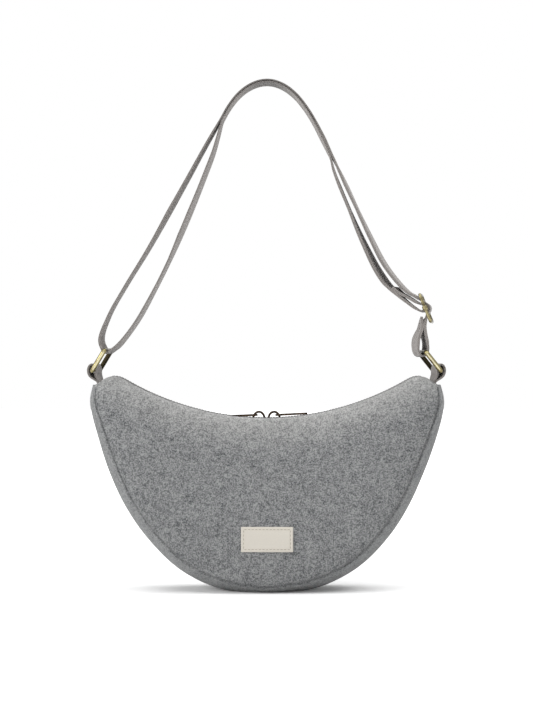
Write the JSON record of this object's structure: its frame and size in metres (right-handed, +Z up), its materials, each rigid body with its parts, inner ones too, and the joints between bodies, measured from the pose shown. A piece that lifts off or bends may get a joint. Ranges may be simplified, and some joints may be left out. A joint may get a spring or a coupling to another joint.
{
  "type": "belt bag",
  "caption": "Crescent-shaped felt bag with a curved top zip, side rings and a long doubled webbing strap with a wire slide adjuster.",
  "frame": {"origin": "on the floor under the middle of the bag's bounding box", "axes": "+X to the wearer's left as seen in the picture's right, +Z up, the front panel faces -Y"},
  "size_m": [0.3579, 0.0849, 0.5085],
  "materials": {
    "felt": "thick melange wool felt, matt",
    "webbing": "ribbed woven webbing, slight sheen",
    "lining": "plain thin cloth",
    "tape": "woven zip tape",
    "teeth": "moulded teeth, dark bronze",
    "bronze": "dark bronze plated, satin",
    "brass": "antique brass wire, polished",
    "label": "bare cream cotton patch, sewn on"
  },
  "bodies": {
    "bag": {"front_panel": "felt", "back_panel": "felt", "gusset": "felt", "lining_front": "lining", "lining_back": "lining", "lining_gusset": "lining", "zip_tape_front": "tape", "zip_tape_back": "tape", "zip_teeth_front": "teeth", "zip_teeth_back": "teeth", "zip_stop_left": "bronze", "zip_stop_right": "bronze", "label_patch": "label", "anchor_loop_left": "webbing", "anchor_loop_right": "webbing"},
    "slider_left": {"zip_slider_left": "bronze"},
    "slider_right": {"zip_slider_right": "bronze"},
    "pull_left": {"zip_pull_left": "bronze"},
    "pull_right": {"zip_pull_right": "bronze"},
    "strap": {"strap_web": "webbing"},
    "ring_left": {"ring_left": "brass"},
    "ring_right": {"ring_right": "brass"},
    "adjuster": {"adjuster_frame": "brass", "adjuster_bar": "brass"}
  },
  "joints": [
    {"name": "zip_run_left", "type": "hinge", "parent": "bag", "child": "slider_left", "pos_m": [0, 0, 0.4515], "axis": [0, 1, 0], "range_deg": [0, 25], "deforming": ["zip_teeth_front", "zip_teeth_back"]},
    {"name": "zip_run_right", "type": "hinge", "parent": "bag", "child": "slider_right", "pos_m": [0, 0, 0.4515], "axis": [0, -1, 0], "range_deg": [0, 25], "deforming": ["zip_teeth_front", "zip_teeth_back"]},
    {"name": "pull_lift_left", "type": "hinge", "parent": "slider_left", "child": "pull_left", "pos_m": [-0.00993, 0, 0.17427], "axis": [0, 1, 0], "range_deg": [0, 105]},
    {"name": "pull_lift_right", "type": "hinge", "parent": "slider_right", "child": "pull_right", "pos_m": [0.00993, 0, 0.17427], "axis": [0, -1, 0], "range_deg": [0, 105]},
    {"name": "strap_swing", "type": "hinge", "parent": "bag", "child": "strap", "pos_m": [0, 0, 0.2179], "axis": [1, 0, 0], "range_deg": [-25, 25], "deforming": ["anchor_loop_left", "anchor_loop_right"]},
    {"name": "ring_left_rock", "type": "hinge", "parent": "strap", "child": "ring_left", "pos_m": [-0.15837, -0.00107, 0.23907], "axis": [0.165, 0.9863, 0], "range_deg": [0, 3.5]},
    {"name": "ring_right_rock", "type": "hinge", "parent": "strap", "child": "ring_right", "pos_m": [0.15577, -0.00128, 0.23723], "axis": [0.165, -0.9863, 0], "range_deg": [0, 3.5]},
    {"name": "adjuster_rock", "type": "hinge", "parent": "strap", "child": "adjuster", "pos_m": [0.15954, 0.00055, 0.2808], "axis": [0.1392, 0.9903, 0], "range_deg": [-4, 6]}
  ]
}
